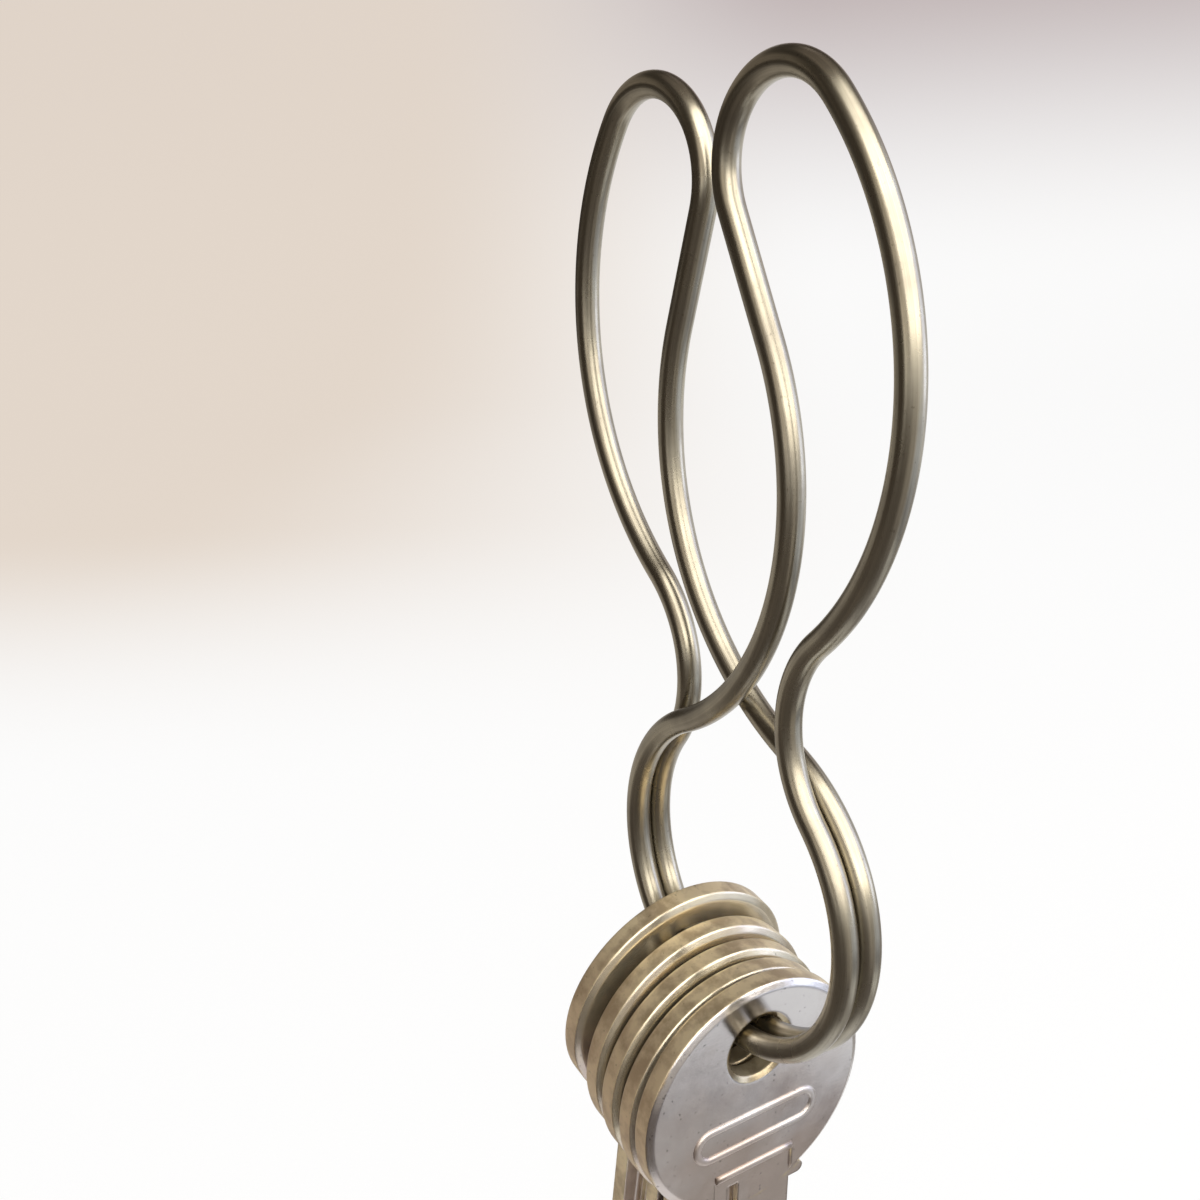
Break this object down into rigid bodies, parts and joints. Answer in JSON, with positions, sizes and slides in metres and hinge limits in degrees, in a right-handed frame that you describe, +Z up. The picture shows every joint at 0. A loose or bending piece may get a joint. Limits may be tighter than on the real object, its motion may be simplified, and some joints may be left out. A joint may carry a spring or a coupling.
{
  "type": "belt key clip",
  "caption": "Sprung wire clip whose crossed loops form a key ring below and a belt gap between open ears above, carrying a stack of round-headed flat keys.",
  "frame": {"origin": "middle of the belt gap at its widest point, halfway between the two layers of wire", "axes": "+X across the ears, towards the front loop's ear; +Y along a belt's way through the gap, from the front layer of wire to the rear one; +Z up, from the key ring towards the tips of the ears"},
  "size_m": [0.042, 0.022, 0.1198],
  "materials": {
    "wire": "satin drawn spring steel",
    "key_nickel": "nickel-plated brass, worn to brass on its edges",
    "key_worn": "nickel-plated brass, the plating worn thin"
  },
  "bodies": {
    "front_clip": {"front_loop": "wire", "crossover": "wire"},
    "rear_clip": {"rear_loop": "wire"},
    "key_1": {"key_1": "key_nickel"},
    "key_2": {"key_2": "key_worn"},
    "key_3": {"key_3": "key_worn"},
    "key_4": {"key_4": "key_worn"},
    "key_5": {"key_5": "key_worn"}
  },
  "joints": [
    {"name": "rear_spread", "type": "hinge", "parent": "front_clip", "child": "rear_clip", "pos_m": [0, 0, -0.03378], "axis": [0, -1, 0], "range_deg": [-2.5, 6], "stiffness_Nm_per_rad": 2, "deforming": ["crossover"]},
    {"name": "key_1_swing", "type": "hinge", "parent": "front_clip", "child": "key_1", "pos_m": [0.00045, 0, -0.04836], "axis": [0.9936, 0, -0.1132], "range_deg": [-90, 90]},
    {"name": "key_2_swing", "type": "hinge", "parent": "front_clip", "child": "key_2", "pos_m": [-0.00185, 0, -0.04844], "axis": [0.9925, 0, -0.1219], "range_deg": [-90, 90]},
    {"name": "key_3_swing", "type": "hinge", "parent": "front_clip", "child": "key_3", "pos_m": [-0.0043, 0, -0.04771], "axis": [0.989, 0, -0.1478], "range_deg": [-90, 90]},
    {"name": "key_4_swing", "type": "hinge", "parent": "front_clip", "child": "key_4", "pos_m": [-0.00654, 0, -0.04651], "axis": [0.9869, 0, -0.1616], "range_deg": [-90, 90]},
    {"name": "key_5_swing", "type": "hinge", "parent": "front_clip", "child": "key_5", "pos_m": [-0.0093, 0, -0.04419], "axis": [0.9715, 0, -0.2368], "range_deg": [-90, 90]}
  ]
}
